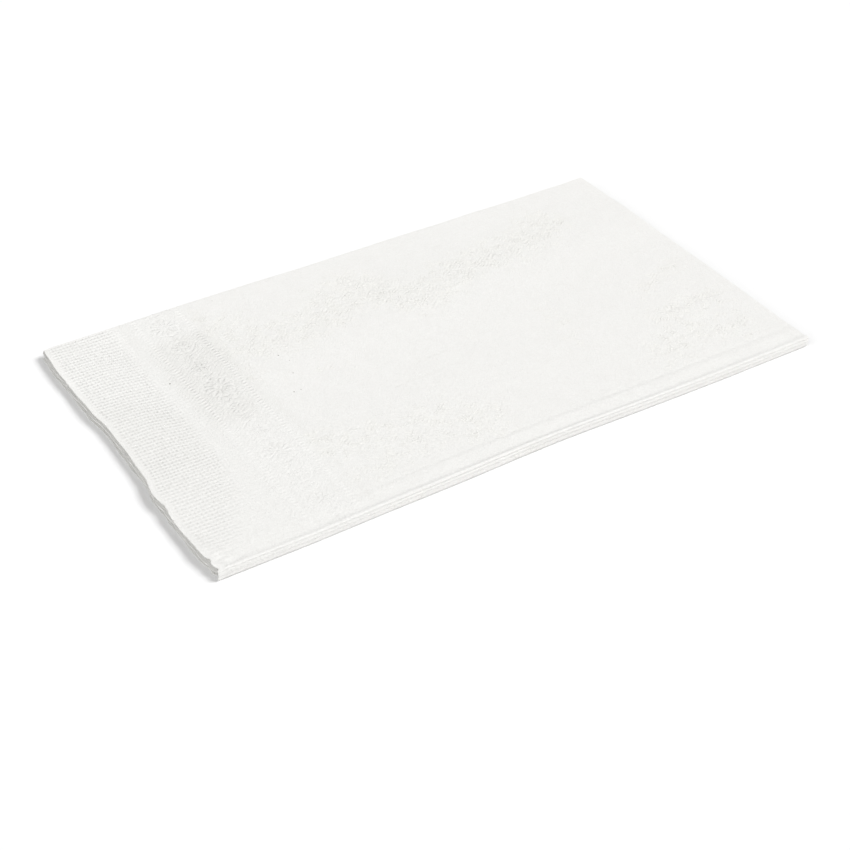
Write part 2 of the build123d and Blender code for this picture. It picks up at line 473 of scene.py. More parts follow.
def field(to_b, depth, shift=(0, 0), thin=1):
    for i, (points, width, amount) in enumerate(BANDS):
        garland(points, width, to_b, depth * (0.35 + 0.65 * amount), 300 + i, shift, thin)
    for i, (x, y, size, petals) in enumerate((
            (7.1, 22.4, 3.4, 7), (22.1, 26.0, 3.8, 8), (44.0, 30.2, 3.3, 7), (60.5, 33.0, 3.2, 7),
            (-44.5, 36.0, 3.4, 7), (-5.5, 37.2, 3.0, 6), (-26.0, -26.6, 3.4, 7), (-25.7, -34.8, 3.6, 8),
            (-40.7, -34.0, 3.2, 7), (58.0, -34.0, 3.4, 7), (75.5, -36.5, 3.8, 8), (70.5, -22.7, 3.0, 6),
            (90.5, -24.0, 3.0, 6), (73.0, -6.5, 3.0, 6))):
        rosette(x, y, size, petals, to_b, depth * 1.1, 400 + i, shift)


FIELD_DEPTH = 0.040
field(top_b, FIELD_DEPTH)
field(under_b, FIELD_DEPTH, shift=(4, -9), thin=2)
# a long leaf under the largest flower, and its veins
for points, depth in (([(19.6, 21.4), (22.4, 21.9), (24.6, 23.2), (26.8, 23.5)], 0.085), ([(9.6, 15.2), (12.8, 16.4), (16.4, 19.2), (19.6, 21.4)], 0.06),
                      ([(9.8, 16.7), (12.3, 18.0), (15.2, 20.4), (17.6, 22.2)], 0.055), ([(12.0, 14.6), (15.0, 16.2), (17.8, 18.6)], 0.045),
                      ([(4.6, 21.6), (4.4, 24.0), (5.6, 25.4), (7.6, 24.9)], 0.06), ([(38.4, 22.9), (41.6, 23.2), (44.0, 24.4)], 0.045),
                      ([(59.6, 28.2), (61.4, 27.1), (63.6, 27.6)], 0.055), ([(66.8, 37.2), (68.6, 38.4)], 0.06)):
    line = curve(points)
    add([np.stack([line[:, 0] - X_CUT, top_b(line[:, 1])], 1)], depth, 0.36)


def wrinkle(x0, x1, y0, y1, depth, seed):
    t = np.linspace(0, 1, 60)
    x = x0 + (x1 - x0) * t
    y = y0 + (y1 - y0) * t + 0.25 * ripple(seed, x, 9, 40)
    fade = np.sin(math.pi * t) ** 0.6
    pts = np.stack([x - X_CUT, top_b(y)], 1)
    for i in range(0, 59, 3):
        strokes.append((pts[i:i + 4], 0.65 * depth * fade[min(i + 2, 59)], 0.5))


for x0, x1, y0, y1, depth, seed in (
        (-56, -44, 4.6, 4.9, 0.045, 205), (20, 58, -30.4, -31.5, 0.03, 206),
        (-70, -30, -46.3, -46.8, 0.05, 207), (-30, 30, -43.9, -44.3, 0.035, 208)):
    wrinkle(x0, x1, y0, y1, depth, seed)


MASK_PX = 0.5
lace = np.zeros((int(192 / MASK_PX), int(B0[7] / MASK_PX) + 2), np.float32)


def spread(line, reach, amount, to_b):
    """Mark a soft band of the given half width along a line, in plan x, y."""
    a, b = line[:, 0] - X_CUT, to_b(line[:, 1])
    n = int(reach * 1.45 / MASK_PX) + 1
    k = np.arange(-n, n + 1)
    for a0, b0 in zip(a, b):
        i, j = int(a0 / MASK_PX), int(b0 / MASK_PX)
        if i - n < 0 or j - n < 0 or i + n >= lace.shape[0] or j + n >= lace.shape[1]:
            continue
        d = np.hypot(((i + k + 0.5) * MASK_PX - a0)[:, None], ((j + k + 0.5) * MASK_PX - b0)[None])
        view = lace[i - n:i + n + 1, j - n:j + n + 1]
        np.maximum(view, amount * smooth(1.35, 0.15, d / reach), out=view)


for to_b, shift in ((top_b, (0, 0)), (under_b, (4, -9))):
    for points, width, amount in BANDS:
        spread(curve(points) + np.array(shift, float), width * 1.10, amount * 0.93, to_b)


def lace_at(a, b):
    u = np.clip(a / MASK_PX - 0.5, 0, lace.shape[0] - 2)
    v = np.clip(b / MASK_PX - 0.5, 0, lace.shape[1] - 2)
    i, j = np.floor(u).astype(int), np.floor(v).astype(int)
    fu, fv = u - i, v - j
    out = (lace[i, j] * (1 - fu) * (1 - fv) + lace[i + 1, j] * fu * (1 - fv)
           + lace[i, j + 1] * (1 - fu) * fv + lace[i + 1, j + 1] * fu * fv)
    return np.where((a < 191) & (b < B0[7]), out, 0)


def draw(strokes):
    """Press every stroke into the raster as a soft groove."""
    for pts, depth, width in strokes:
        seg = np.hypot(*np.diff(pts, axis=0).T)
        s = np.concatenate([[0], np.cumsum(seg)])
        if s[-1] == 0:
            continue
        t = np.linspace(0, s[-1], max(2, int(s[-1] / 0.14) + 1))
        a, b = np.interp(t, s, pts[:, 0]), np.interp(t, s, pts[:, 1])
        reach = int(width * 2.4 / PX) + 1
        k = np.arange(-reach, reach + 1)
        ia, ib = np.floor(a / PX).astype(int), np.floor(b / PX).astype(int)
        for a0, b0, i, j in zip(a, b, ia, ib):
            if i - reach < 0 or j - reach < 0 or i + reach >= NA or j + reach >= NB:
                continue
            da = (i + k + 0.5) * PX - a0
            db = (j + k + 0.5) * PX - b0
            g = -depth * np.exp(-(da ** 2 / width ** 2))[:, None] * np.exp(-(db ** 2 / width ** 2))[None]
            view = relief[i - reach:i + reach + 1, j - reach:j + reach + 1]
            np.minimum(view, g, out=view)


draw(strokes)


def drawn(a, b):
    """The raster at any point, bilinear, and flat beyond it."""
    u = np.clip(a / PX - 0.5, 0, NA - 2)
    v = np.clip(b / PX - 0.5, 0, NB - 2)
    i, j = np.floor(u).astype(int), np.floor(v).astype(int)
    fu, fv = u - i, v - j
    r = relief
    out = (r[i, j] * (1 - fu) * (1 - fv) + r[i + 1, j] * fu * (1 - fv)
           + r[i, j + 1] * (1 - fu) * fv + r[i + 1, j + 1] * fu * fv)
    return np.where((a < (NA - 1) * PX) & (b < (NB - 1) * PX), out, 0)


COIN_DEPTH = 0.146


def wear(a, b):
    """How much of the emboss has stayed, 0 to 1. The near left corner was rubbed flat."""
    top = (b > B0[2]) & (b < B0[7])
    x, y = a + X_CUT, STEPS[6][2] + b - B0[6]
    off = (x + 74.5) * 0.915 - (y + 15.7) * 0.404    # past an oblique line near that corner
    worn = 1 - 0.80 * smooth(-3, 5, off) * smooth(-73, -75, x)
    worn = worn * (1 - 0.50 * smooth(2, -12, y) * smooth(-75, -72, x) * smooth(-56, -58, x))
    worn = worn * (1 - 0.46 * smooth(8, -12, y) * smooth(-50.5, -52, x) * smooth(-58, -56, x))
    worn = worn * (0.90 + 0.10 * np.sin(x / 6.1 + 1.0) * np.sin(y / 7.3)) * (1 + 0.40 * smooth(0, 30, y) * smooth(-71, -74, x))
    worn = worn * (1 - 0.17 * smooth(-8, -24, y) * smooth(-71, -74, x))
    worn = worn * (1 - 0.45 * smooth(-40, -50, y) * smooth(-72, -75, x))
    worn = worn * (1 - 0.38 * smooth(36, 43, y) * smooth(-73, -70, x) * smooth(-50, -53, x))
    # little of it is left on the outer fold
    bent = smooth(B0[1] - 2.5, B0[1] + 0.6, b) * smooth(B0[2] + 2.4, B0[2] + 0.2, b)
    return np.where(top, worn, 0.95) * (1 - 0.72 * bent)


def coin(a, b):
    """Rows of pits between ribs, along every side of the sheet."""
    d = np.minimum(np.minimum(a, SHEET_A - a), np.minimum(b, SHEET_B - b))
    inside = smooth(COIN_W + 0.6, COIN_W - 2.4, d) * smooth(0.9, 1.7, d)
    pa = (1 + np.cos(2 * math.pi * a / COIN_A)) / 2
    pb = (1 + np.cos(2 * math.pi * b / COIN_B)) / 2
    cell = np.sin(np.round(a / COIN_A) * 12.9898 + np.round(b / COIN_B) * 78.233) * 43758.5453
    uneven = 0.86 + 0.22 * (cell - np.floor(cell))
    line = 0.05 * bell(d, 1.25, 0.4)
    return -COIN_DEPTH * inside * uneven * pb * (0.30 + 0.70 * pa) - line


def emboss(a, b):
    return (coin(a, b) + drawn(a, b)) * wear(a, b)


# =============================================================================
# Mesh: the flat sheet is divided finely where the ornament is, then folded
# =============================================================================
# Stretched coordinates, so that folds get square cells before they are bent.
STRETCH = {1: 4.2, 7: 9.0, 9: 8.0}
q_knots = [0.0]
for i, s in enumerate(STEPS):
    q_knots.append(q_knots[-1] + s[1] * STRETCH.get(i, 1.0))
b_knots = B0
p_knots = [0.0, LEAF_A, LEAF_A + NOSE * 16.0, LEAF_A + NOSE * 16.0 + (SHEET_A - A_B)]
a_knots = [0.0, LEAF_A, A_B, SHEET_A]


def spaced(x0, x1, step):
    n = max(1, int(round((x1 - x0) / step)))
    return np.linspace(x0, x1, n + 1)


def grid(av, bv):
    a, b = np.meshgrid(av, bv, indexing="ij")
    return np.stack([a.ravel(), b.ravel()], 1)


def even(a0, a1, b0, b1, step):
    """Staggered points, evenly spread over a rectangle and clear of its sides."""
    na, nb = max(1, int(round((a1 - a0) / step))), max(1, int(round((b1 - b0) / (step * 0.87))))
    a, b = np.meshgrid(np.arange(na), np.arange(nb), indexing="ij")
    a = a0 + (a + 0.25 + 0.5 * (b % 2)) * (a1 - a0) / na
    b = b0 + (b + 0.5) * (b1 - b0) / nb
    return np.stack([a.ravel(), b.ravel()], 1)


def along_strokes(a0, a1, b0, b1, step, sides):
    """Points on every stroke and to both sides of it, the middle line first."""
    found = [[] for _ in sides]
    for pts, depth, width in strokes:
        if pts[:, 0].max() < a0 or pts[:, 0].min() > a1 or pts[:, 1].max() < b0 or pts[:, 1].min() > b1:
            continue
        seg = np.hypot(*np.diff(pts, axis=0).T)
        s = np.concatenate([[0], np.cumsum(seg)])
        n = max(2, int(math.ceil(s[-1] / step)) + 1)
        at = np.linspace(0, s[-1], n)
        a, b = np.interp(at, s, pts[:, 0]), np.interp(at, s, pts[:, 1])
        k = np.clip(np.searchsorted(s, at, side="right"), 1, len(pts) - 1)
        d = pts[k] - pts[k - 1]
        d = d / np.maximum(np.hypot(d[:, 0], d[:, 1]), 1e-9)[:, None]
        for i, off in enumerate(sides):
            found[i].append(np.stack([a - d[:, 1] * off * width, b + d[:, 0] * off * width], 1))
    out = np.concatenate([p for f in found for p in f])
    return out[(out[:, 0] > a0) & (out[:, 0] < a1) & (out[:, 1] > b0) & (out[:, 1] < b1)]


def thinned(groups):
    """Points of all groups in order, each no nearer than its distance to an earlier one."""
    cell = 0.5
    table, out = {}, []
    for pts, least in groups:
        reach = int(math.ceil(least / cell))
        lim = least * least
        for a, b in pts.tolist():
            i, j = int(a // cell), int(b // cell)
            ok = True
            for u in range(i - reach, i + reach + 1):
                for v in range(j - reach, j + reach + 1):
                    for qa, qb in table.get((u, v), ()):
                        if (qa - a) ** 2 + (qb - b) ** 2 < lim:
                            ok = False
                            break
                    if not ok:
                        break
                if not ok:
                    break
            if ok:
                table.setdefault((i, j), []).append((a, b))
                out.append((a, b))
    return np.array(out)


DA, DB = COIN_A / 3, COIN_B / 3
coin_a = np.arange(0, 60) * DA
coin_a = coin_a[coin_a < COIN_W + 0.7]
ARC = {1: 24, 7: 10, 9: 8}
arc_b = {i: np.linspace(B0[i], B0[i + 1], n + 1) for i, n in ARC.items()}

# rows shared by everything that crosses a fold
outer_rows, far_rows, inner_rows = arc_b[1], arc_b[7], arc_b[9]

# the border of the sheet, the same for both sides
top_rows = np.arange(math.ceil(B0[2] / DB), math.floor(B0[7] / DB) + 1) * DB
top_rows = top_rows[(top_rows > B0[2] + 0.15) & (top_rows < B0[7] - 0.15)]
under_rows = np.arange(1, math.floor(B0[1] / (COIN_B / 2)) + 1) * (COIN_B / 2)
under_rows = under_rows[under_rows < B0[1] - 0.2]
edge_a0 = np.unique(np.concatenate([[0.0], under_rows, outer_rows, top_rows, far_rows,
                                    spaced(B0[8], B0[9], 1.1), inner_rows, spaced(B0[10], SHEET_B, 1.1)]).round(5))
edge_a1 = np.unique(np.concatenate([spaced(0, B0[1], 1.1), outer_rows, spaced(B0[2], B0[7], 1.1), far_rows,
                                    spaced(B0[8], B0[9], 1.1), inner_rows, spaced(B0[10], SHEET_B, 1.1)]).round(5))
nose_cols = np.linspace(LEAF_A, A_B, 8)
under_a = np.arange(0, 400) * (COIN_A / 2)
under_a = under_a[under_a < LEAF_A - 0.2]
edge_b0 = np.unique(np.concatenate([under_a, nose_cols, spaced(A_B, SHEET_A, 1.1)]).round(5))
edge_b1 = np.unique(np.concatenate([spaced(0, LEAF_A, 1.1), nose_cols, spaced(A_B, SHEET_A, 1.1)]).round(5))
border = np.concatenate([
    np.stack([edge_b0, np.zeros_like(edge_b0)], 1),
    np.stack([np.full(len(edge_a1) - 1, SHEET_A), edge_a1[1:]], 1),
    np.stack([edge_b1[::-1][1:], np.full(len(edge_b1) - 1, SHEET_B)], 1),
    np.stack([np.zeros(len(edge_a0) - 2), edge_a0[::-1][1:-1]], 1),
])

nose_b = np.unique(np.concatenate([spaced(0, B0[1], 1.6), outer_rows, spaced(B0[2], B0[7], 1.6), far_rows,
                                   spaced(B0[8], B0[9], 1.6), inner_rows, spaced(B0[10], SHEET_B, 1.6)]).round(5))
nose_grid = grid(nose_cols, nose_b[1:-1])
near_cut = [0.9, 2.2, 4.2, 7.5, 12.0]   # columns behind a cut edge, then wide ones
wide_a = np.concatenate([near_cut, spaced(20, LEAF_A - 1.2, 8.0)])
wide_b_leaf = SHEET_A - np.concatenate([near_cut, spaced(20, SHEET_A - A_B - 1.2, 8.0)])


def hidden(cols, b_from, b_to, step=6.0):
    bv = spaced(b_from, b_to, step)
    return grid(cols, bv[(bv > 0.5) & (bv < SHEET_B - 0.5)])


def hidden_edges(cols_near, ranges):
    out = []
    for b_from, b_to in ranges:
        bv = spaced(b_from, b_to, 1.5)
        out.append(grid(cols_near, bv[(bv > 0.5) & (bv < SHEET_B - 0.5)]))
    return np.concatenate(out)


LINES = [(B0[0], B0[1]), (B0[2], B0[7]), (B0[8], B0[9]), (B0[10], SHEET_B)]
arcs_all = np.concatenate([outer_rows, far_rows, inner_rows])
slopes = spaced(B0[2], B0[6], 1.6)
behind_fold = np.concatenate([spaced(B0[2], B0[2] + 1.2, 0.3)[1:], spaced(B0[4] - 0.7, B0[4] + 2.4, 0.3)])
fringe_b1 = grid(spaced(1.5, LEAF_A - 1, 3.0), [SHEET_B - 0.8, SHEET_B - 2.0])

common_b_leaf = [
    np.concatenate([hidden(wide_b_leaf, *r) for r in LINES]),
    grid(wide_b_leaf, arcs_all), grid(wide_b_leaf, slopes),
    hidden_edges(SHEET_A - np.array([0.9, 2.2]), LINES),
    grid(A_B + spaced(1.5, SHEET_A - A_B - 1.5, 3.0), [0.8, 2.0, SHEET_B - 2.0, SHEET_B - 0.8]),
]
# ornament on the top panel, then on the underside
field_a0, field_a1 = coin_a[-1] + 0.2, LEAF_A - 0.25
top_ornament = thinned([
    (along_strokes(field_a0, field_a1, B0[2] + 0.2, B0[7] - 0.2, 0.50, (0.0,)), 0.20),
    (along_strokes(field_a0, field_a1, B0[2] + 0.2, B0[7] - 0.2, 0.50, (0.95, -0.95)), 0.20),
    (along_strokes(field_a0, field_a1, B0[2] + 0.2, B0[7] - 0.2, 0.70, (2.1, -2.1)), 0.30),
    (even(field_a0, field_a1, B0[2] + 0.2, B0[7] - 0.2, 1.9), 0.8),
])
UNDER = COIN_W + 0.9
under_ornament = thinned([
    (along_strokes(UNDER, field_a1, UNDER, B0[1] - 0.2, 0.8, (0.0,)), 0.42),
    (along_strokes(UNDER, field_a1, UNDER, B0[1] - 0.2, 1.1, (1.5, -1.5)), 0.45),
    (even(UNDER, field_a1, UNDER, B0[1] - 0.2, 3.2), 1.2),
])
# outer side: fine on the top panel and on the underside
side_a = [border, nose_grid] + common_b_leaf + [
    grid(coin_a[1:], top_rows),
    grid(coin_a[1:], outer_rows),
    grid(spaced(coin_a[-1] + 0.7, LEAF_A - 0.9, 1.5), outer_rows),
    grid(spaced(coin_a[-1] + 0.7, LEAF_A - 0.9, 2.0), far_rows),
    grid(coin_a[2::2], far_rows),
    grid(spaced(coin_a[-1] + 0.7, LEAF_A - 0.9, 1.7), behind_fold),
    top_ornament,
    # the underside's coin edge, along its two cut sides
    grid(under_a[1:][under_a[1:] < COIN_W + 0.6], under_rows),
    grid(under_a[under_a > COIN_W + 0.6], under_rows[under_rows < COIN_W + 0.6]),
    under_ornament,
    # panels inside the fold
    np.concatenate([hidden(wide_a, *r) for r in LINES[2:]]), grid(wide_a, inner_rows),
    hidden_edges(np.array([0.9, 2.2]), LINES[2:]), fringe_b1,
]
side_b = [border, nose_grid] + common_b_leaf + [
    np.concatenate([hidden(wide_a, *r) for r in LINES]), grid(wide_a, arcs_all), grid(wide_a, slopes),
    hidden_edges(np.array([0.9, 2.2]), LINES), fringe_b1,
    grid(spaced(1.5, LEAF_A - 1, 3.0), [0.8, 2.0]),
]


def triangulate(parts):
    pts = np.concatenate(parts)
    pts = pts[(pts[:, 0] >= 0) & (pts[:, 0] <= SHEET_A) & (pts[:, 1] >= 0) & (pts[:, 1] <= SHEET_B)]
    pts = np.unique(np.round(pts, 5), axis=0)
    p = np.interp(pts[:, 0], a_knots, p_knots)
    q = np.interp(pts[:, 1], b_knots, q_knots)
    flat = [Vector((u, v)) for u, v in zip(p.tolist(), q.tolist())]
    verts, _, faces, ids, _, _ = delaunay_2d_cdt(flat, [], [], 0, 1e-5)
    first = np.array([g[0] if g else -1 for g in ids])
    if (first < 0).any():
        raise SystemExit("the triangulation added a point")
    tri = np.array([list(f) for f in faces], int)
    return pts[first], tri


A_pts, A_tri = triangulate(side_a)
B_pts, B_tri = triangulate(side_b)


def counter_clockwise(pts, tri):
    u, v, w = pts[tri[:, 0]], pts[tri[:, 1]], pts[tri[:, 2]]
    area = (v[:, 0] - u[:, 0]) * (w[:, 1] - u[:, 1]) - (v[:, 1] - u[:, 1]) * (w[:, 0] - u[:, 0])
    tri = tri[np.abs(area) > 1e-9]
    area = area[np.abs(area) > 1e-9]
    tri[area < 0] = tri[area < 0][:, ::-1]
    return tri


A_tri, B_tri = counter_clockwise(A_pts, A_tri), counter_clockwise(B_pts, B_tri)[:, ::-1]


def where_is(pts, wanted):
    table = {(round(x, 4), round(y, 4)): i for i, (x, y) in enumerate(pts.tolist())}
    return np.array([table[(round(x, 4), round(y, 4))] for x, y in wanted.tolist()])


ia, ib = where_is(A_pts, border), where_is(B_pts, border) + len(A_pts)
# torn, slightly fibrous cut edges: small in-plane shifts along the border
ragged = 0.05 * rng.standard_normal(len(border))
is_rim_a = np.zeros(len(A_pts)); is_rim_a[ia] = 1
A_off = LAYER / 2 + emboss(A_pts[:, 0], A_pts[:, 1])
B_off = np.full(len(B_pts), -LAYER / 2)
# at the very edge the sheet is a little thinner, as cut tissue is
rim_thin = 0.04
A_off[ia] -= rim_thin
B_off[ib - len(A_pts)] += rim_thin
A_xyz = fold(A_pts[:, 0], A_pts[:, 1], A_off)
B_xyz = fold(B_pts[:, 0], B_pts[:, 1], B_off)
sx = np.where(border[:, 0] == 0, -1.0, np.where(border[:, 0] == SHEET_A, -1.0, 0.0))
A_xyz[ia, 0] += sx * ragged
B_xyz[ib - len(A_pts), 0] += sx * (ragged + 0.02 * rng.standard_normal(len(border)))
xyz = np.concatenate([A_xyz, B_xyz])

nxt = np.roll(np.arange(len(border)), -1)
rim = np.stack([ia, ib, ib[nxt], ia[nxt]], 1)
rim_tri = np.concatenate([rim[:, [0, 1, 2]], rim[:, [0, 2, 3]]])
faces = np.concatenate([A_tri, B_tri + len(A_pts), rim_tri])

mesh = bpy.data.meshes.new("napkin")
mesh.vertices.add(len(xyz))
mesh.vertices.foreach_set("co", (xyz * MM).astype(np.float32).ravel())
mesh.loops.add(faces.size)
mesh.loops.foreach_set("vertex_index", faces.astype(np.int32).ravel())
mesh.polygons.add(len(faces))
mesh.polygons.foreach_set("loop_start", (np.arange(len(faces)) * 3).astype(np.int32))
mesh.polygons.foreach_set("loop_total", np.full(len(faces), 3, np.int32))
flat_ab = np.concatenate([A_pts, B_pts])
uv = mesh.uv_layers.new(name="flat")
uv.data.foreach_set("uv", (flat_ab[faces.ravel()] / SHEET_B).astype(np.float32).ravel())
# press: the depth of the drawn grooves; the material also darkens the grooves a little with it, as painted shade
press = mesh.attributes.new(name="press", type="FLOAT", domain="POINT")
kept = wear(A_pts[:, 0], A_pts[:, 1])
pressed = np.concatenate([np.clip(-drawn(A_pts[:, 0], A_pts[:, 1]) / 0.13, 0, 1) * kept, np.zeros(len(B_pts))])
press.data.foreach_set("value", pressed.astype(np.float32))
stays = mesh.attributes.new(name="stays", type="FLOAT", domain="POINT")
stays.data.foreach_set("value", np.concatenate([kept, np.full(len(B_pts), 0.5)]).astype(np.float32))
lacy = mesh.attributes.new(name="lacy", type="FLOAT", domain="POINT")
lacy.data.foreach_set("value", np.concatenate([lace_at(A_pts[:, 0], A_pts[:, 1]), np.zeros(len(B_pts))]).astype(np.float32))
mesh.update(calc_edges=True)
mesh.validate(verbose=False)
mesh.polygons.foreach_set("use_smooth", np.ones(len(mesh.polygons), bool))
mesh.set_sharp_from_angle(angle=math.radians(55))
mesh.update()
napkin = bpy.data.objects.new("napkin", mesh)
bpy.context.scene.collection.objects.link(napkin)
print("napkin triangles", len(faces), "outer", len(A_tri), "inner", len(B_tri), "rim", len(rim_tri),
      "lowest mm", round(float(xyz[:, 2].min()), 4), "highest mm", round(float(xyz[:, 2].max()), 3))

# =============================================================================
# Material: white two-ply tissue
# =============================================================================
def node(tree, kind, loc=(0, 0), **values):
    n = tree.nodes.new(kind)
    n.location = loc
    for k, v in values.items():
        if k in n.inputs.keys():
            n.inputs[k].default_value = v
        else:
            setattr(n, k, v)
    return n


paper = bpy.data.materials.new("napkin_paper")
paper.use_nodes = True
nt = paper.node_tree
nt.nodes.clear()
link = nt.links.new
out = node(nt, "ShaderNodeOutputMaterial", (1400, 0))
bsdf = node(nt, "ShaderNodeBsdfPrincipled", (1100, 0))
link(bsdf.outputs[0], out.inputs[0])
bsdf.inputs["Roughness"].default_value = 0.92
bsdf.inputs["Specular IOR Level"].default_value = 0.12
bsdf.inputs["Sheen Weight"].default_value = 0.12
bsdf.inputs["Sheen Roughness"].default_value = 0.6
bsdf.inputs["Sheen Tint"].default_value = (1, 1, 1, 1)

uvn = node(nt, "ShaderNodeUVMap", (-1500, 0)); uvn.uv_map = "flat"
mm = node(nt, "ShaderNodeVectorMath", (-1300, 0), operation="SCALE")
mm.inputs["Scale"].default_value = SHEET_B
link(uvn.outputs[0], mm.inputs[0])            # flat sheet position in millimetres

def maths(op, a, b=None, c=None, loc=(0, 0), clamp=False):
    n = nt.nodes.new("ShaderNodeMath")
    n.operation = op
    n.location = loc
    n.use_clamp = clamp
    for i, v in enumerate((a, b, c)):
        if v is None:
            continue
        if isinstance(v, (int, float)):
            n.inputs[i].default_value = v
        else:
            link(v, n.inputs[i])
    return n.outputs[0]


def ramp_of(value, p0, c0, p1, c1, loc):
    n = nt.nodes.new("ShaderNodeValToRGB")
    n.location = loc
    n.color_ramp.elements[0].position, n.color_ramp.elements[0].color = p0, (*c0, 1)
    n.color_ramp.elements[1].position, n.color_ramp.elements[1].color = p1, (*c1, 1)
    link(value, n.inputs[0])
    return n.outputs[0]


def step_of(value, x0, x1, y0, y1, loc):
    m = node(nt, "ShaderNodeMapRange", loc, interpolation_type="SMOOTHSTEP")
    m.inputs["From Min"].default_value = x0
    m.inputs["From Max"].default_value = x1
    m.inputs["To Min"].default_value = y0
    m.inputs["To Max"].default_value = y1
    link(value, m.inputs["Value"])
    return m.outputs["Result"]


def noise(scale, detail, rough, loc, vector=None, distort=0.0):
    n = nt.nodes.new("ShaderNodeTexNoise")
    n.location = loc
    n.inputs["Scale"].default_value = scale
    n.inputs["Detail"].default_value = detail
    n.inputs["Roughness"].default_value = rough
    n.inputs["Distortion"].default_value = distort
    link(vector or mm.outputs[0], n.inputs["Vector"])
    return n.outputs["Fac"]


# crepe: fine ridges across the web; fibres: short threads; cloud: the tissue's formation
crepe_map = node(nt, "ShaderNodeMapping", (-1050, -250))
crepe_map.inputs["Scale"].default_value = (0.55, 2.4, 1.0)
link(mm.outputs[0], crepe_map.inputs[0])
crepe = noise(1.0, 3.0, 0.6, (-850, -250), crepe_map.outputs[0])
fibre = noise(1.5, 5.0, 0.72, (-850, -500), None, 1.2)
cloud = noise(0.16, 4.0, 0.6, (-850, 250))

# the coin edge's pits, drawn on the flat sheet: they are darkened in colour, partly as the greyer tone of pressed
# tissue and partly as painted shade in the pits
split = node(nt, "ShaderNodeSeparateXYZ", (-1050, 600))
link(mm.outputs[0], split.inputs[0])
at_a, at_b = split.outputs[0], split.outputs[1]
from_edge = maths("MINIMUM",
                  maths("MINIMUM", at_a, maths("SUBTRACT", SHEET_A, at_a)),
                  maths("MINIMUM", at_b, maths("SUBTRACT", SHEET_B, at_b)))
in_border = maths("ADD", step_of(from_edge, COIN_W + 0.8, COIN_W - 2.6, 0.0, 0.66, (-700, 700)),
                  step_of(from_edge, ROPE_1 - 0.6, ROPE_1 - 2.6, 0.0, 0.34, (-700, 800)))
in_border = maths("MULTIPLY", in_border,
                  step_of(from_edge, 0.9, 1.7, 0.0, 1.0, (-700, 900)))
wave_a = maths("MULTIPLY_ADD", maths("COSINE", maths("MULTIPLY", at_a, 2 * math.pi / COIN_A)), 0.5, 0.5)
wave_b = maths("MULTIPLY_ADD", maths("COSINE", maths("MULTIPLY", at_b, 2 * math.pi / COIN_B)), 0.5, 0.5)
stays_in = node(nt, "ShaderNodeAttribute", (-1050, 1100))
stays_in.attribute_name = "stays"
uneven = step_of(noise(0.75, 2.0, 0.6, (-900, 1100)), 0.36, 0.62, 0.78, 1.12, (-700, 1100))
pit = maths("MULTIPLY", maths("MULTIPLY", wave_b, maths("MULTIPLY_ADD", wave_a, 0.74, 0.26)), in_border)
pit = maths("MULTIPLY", pit, maths("MULTIPLY", uneven, stays_in.outputs["Fac"]))
drawn_in = node(nt, "ShaderNodeAttribute", (-1050, 900))
drawn_in.attribute_name = "press"


def hump(value, centre, width):
    """A bell of height 1 about a number or another value."""
    if isinstance(centre, (int, float)):
        s = maths("MULTIPLY_ADD", value, 1 / width, -centre / width)
    else:
        s = maths("MULTIPLY", maths("SUBTRACT", value, centre), 1 / width)
    return maths("EXPONENT", maths("MULTIPLY", maths("MULTIPLY", s, s), -1.0))


def total(*terms):
    out = terms[0]
    for v in terms[1:]:
        out = maths("ADD", out, v)
    return out


def length_of(u, v):
    return maths("SQRT", maths("ADD", maths("MULTIPLY", u, u), maths("MULTIPLY", v, v)))


# ropes and the band between them, along the two outer cut sides and mitred at the corner
across = maths("MINIMUM", at_a, at_b)
along = maths("MAXIMUM", at_a, at_b)
first = maths("LESS_THAN", at_a, at_b)
start = maths("MULTIPLY_ADD", first, flower_b - BAND_MID, BAND_MID)
run = maths("SUBTRACT", along, start)
twist = maths("COSINE", maths("MULTIPLY", run, 2 * math.pi / ROPE_PITCH))
ladder = maths("ADD", maths("MULTIPLY", hump(across, ROPE_1, 0.70), 0.85), hump(across, ROPE_2, 0.62))
ropes = maths("MULTIPLY", ladder, maths("MULTIPLY_ADD", twist, 0.155, 0.045))

turn = maths("MULTIPLY", run, 1 / BAND_PITCH)
number = maths("ROUND", turn)
kind = maths("FLOORED_MODULO", number, 3.0)
v = maths("MULTIPLY", maths("SUBTRACT", turn, number), BAND_PITCH)
# a whole flower sits at the mitre, and the rest begin clear of it
corner = maths("LESS_THAN", along, BAND_MID + 5.2)
motif_at = maths("MULTIPLY_ADD", number, BAND_PITCH, start)
leaf_at = maths("MULTIPLY_ADD", maths("SIGN", v), BAND_PITCH / 2, motif_at)
v = maths("ADD", maths("MULTIPLY", v, maths("SUBTRACT", 1.0, corner)),
          maths("MULTIPLY", maths("SUBTRACT", along, BAND_MID), corner))
kind = maths("MULTIPLY", kind, maths("SUBTRACT", 1.0, corner))
u = maths("SUBTRACT", across, BAND_MID)
r = length_of(u, v)
angle = maths("ARCTAN2", u, v)
eight = maths("COSINE", maths("MULTIPLY", angle, 8.0))
twelve = maths("COSINE", maths("MULTIPLY", angle, 12.0))
# an open flower: twelve rays, a scalloped rim and an eye
rays = maths("MULTIPLY", twelve, maths("MULTIPLY", step_of(r, 1.3, 2.0, 0.0, 1.0, (-900, 1500)),
                                        step_of(r, 4.3, 3.6, 0.0, 1.0, (-900, 1700))))
rim_line = hump(r, maths("MULTIPLY_ADD", eight, 0.32, 4.35), 0.42)
open_flower = total(maths("MULTIPLY", rays, 0.120), maths("MULTIPLY", rim_line, -0.14),
                    maths("MULTIPLY", hump(r, 0.85, 0.38), -0.14))
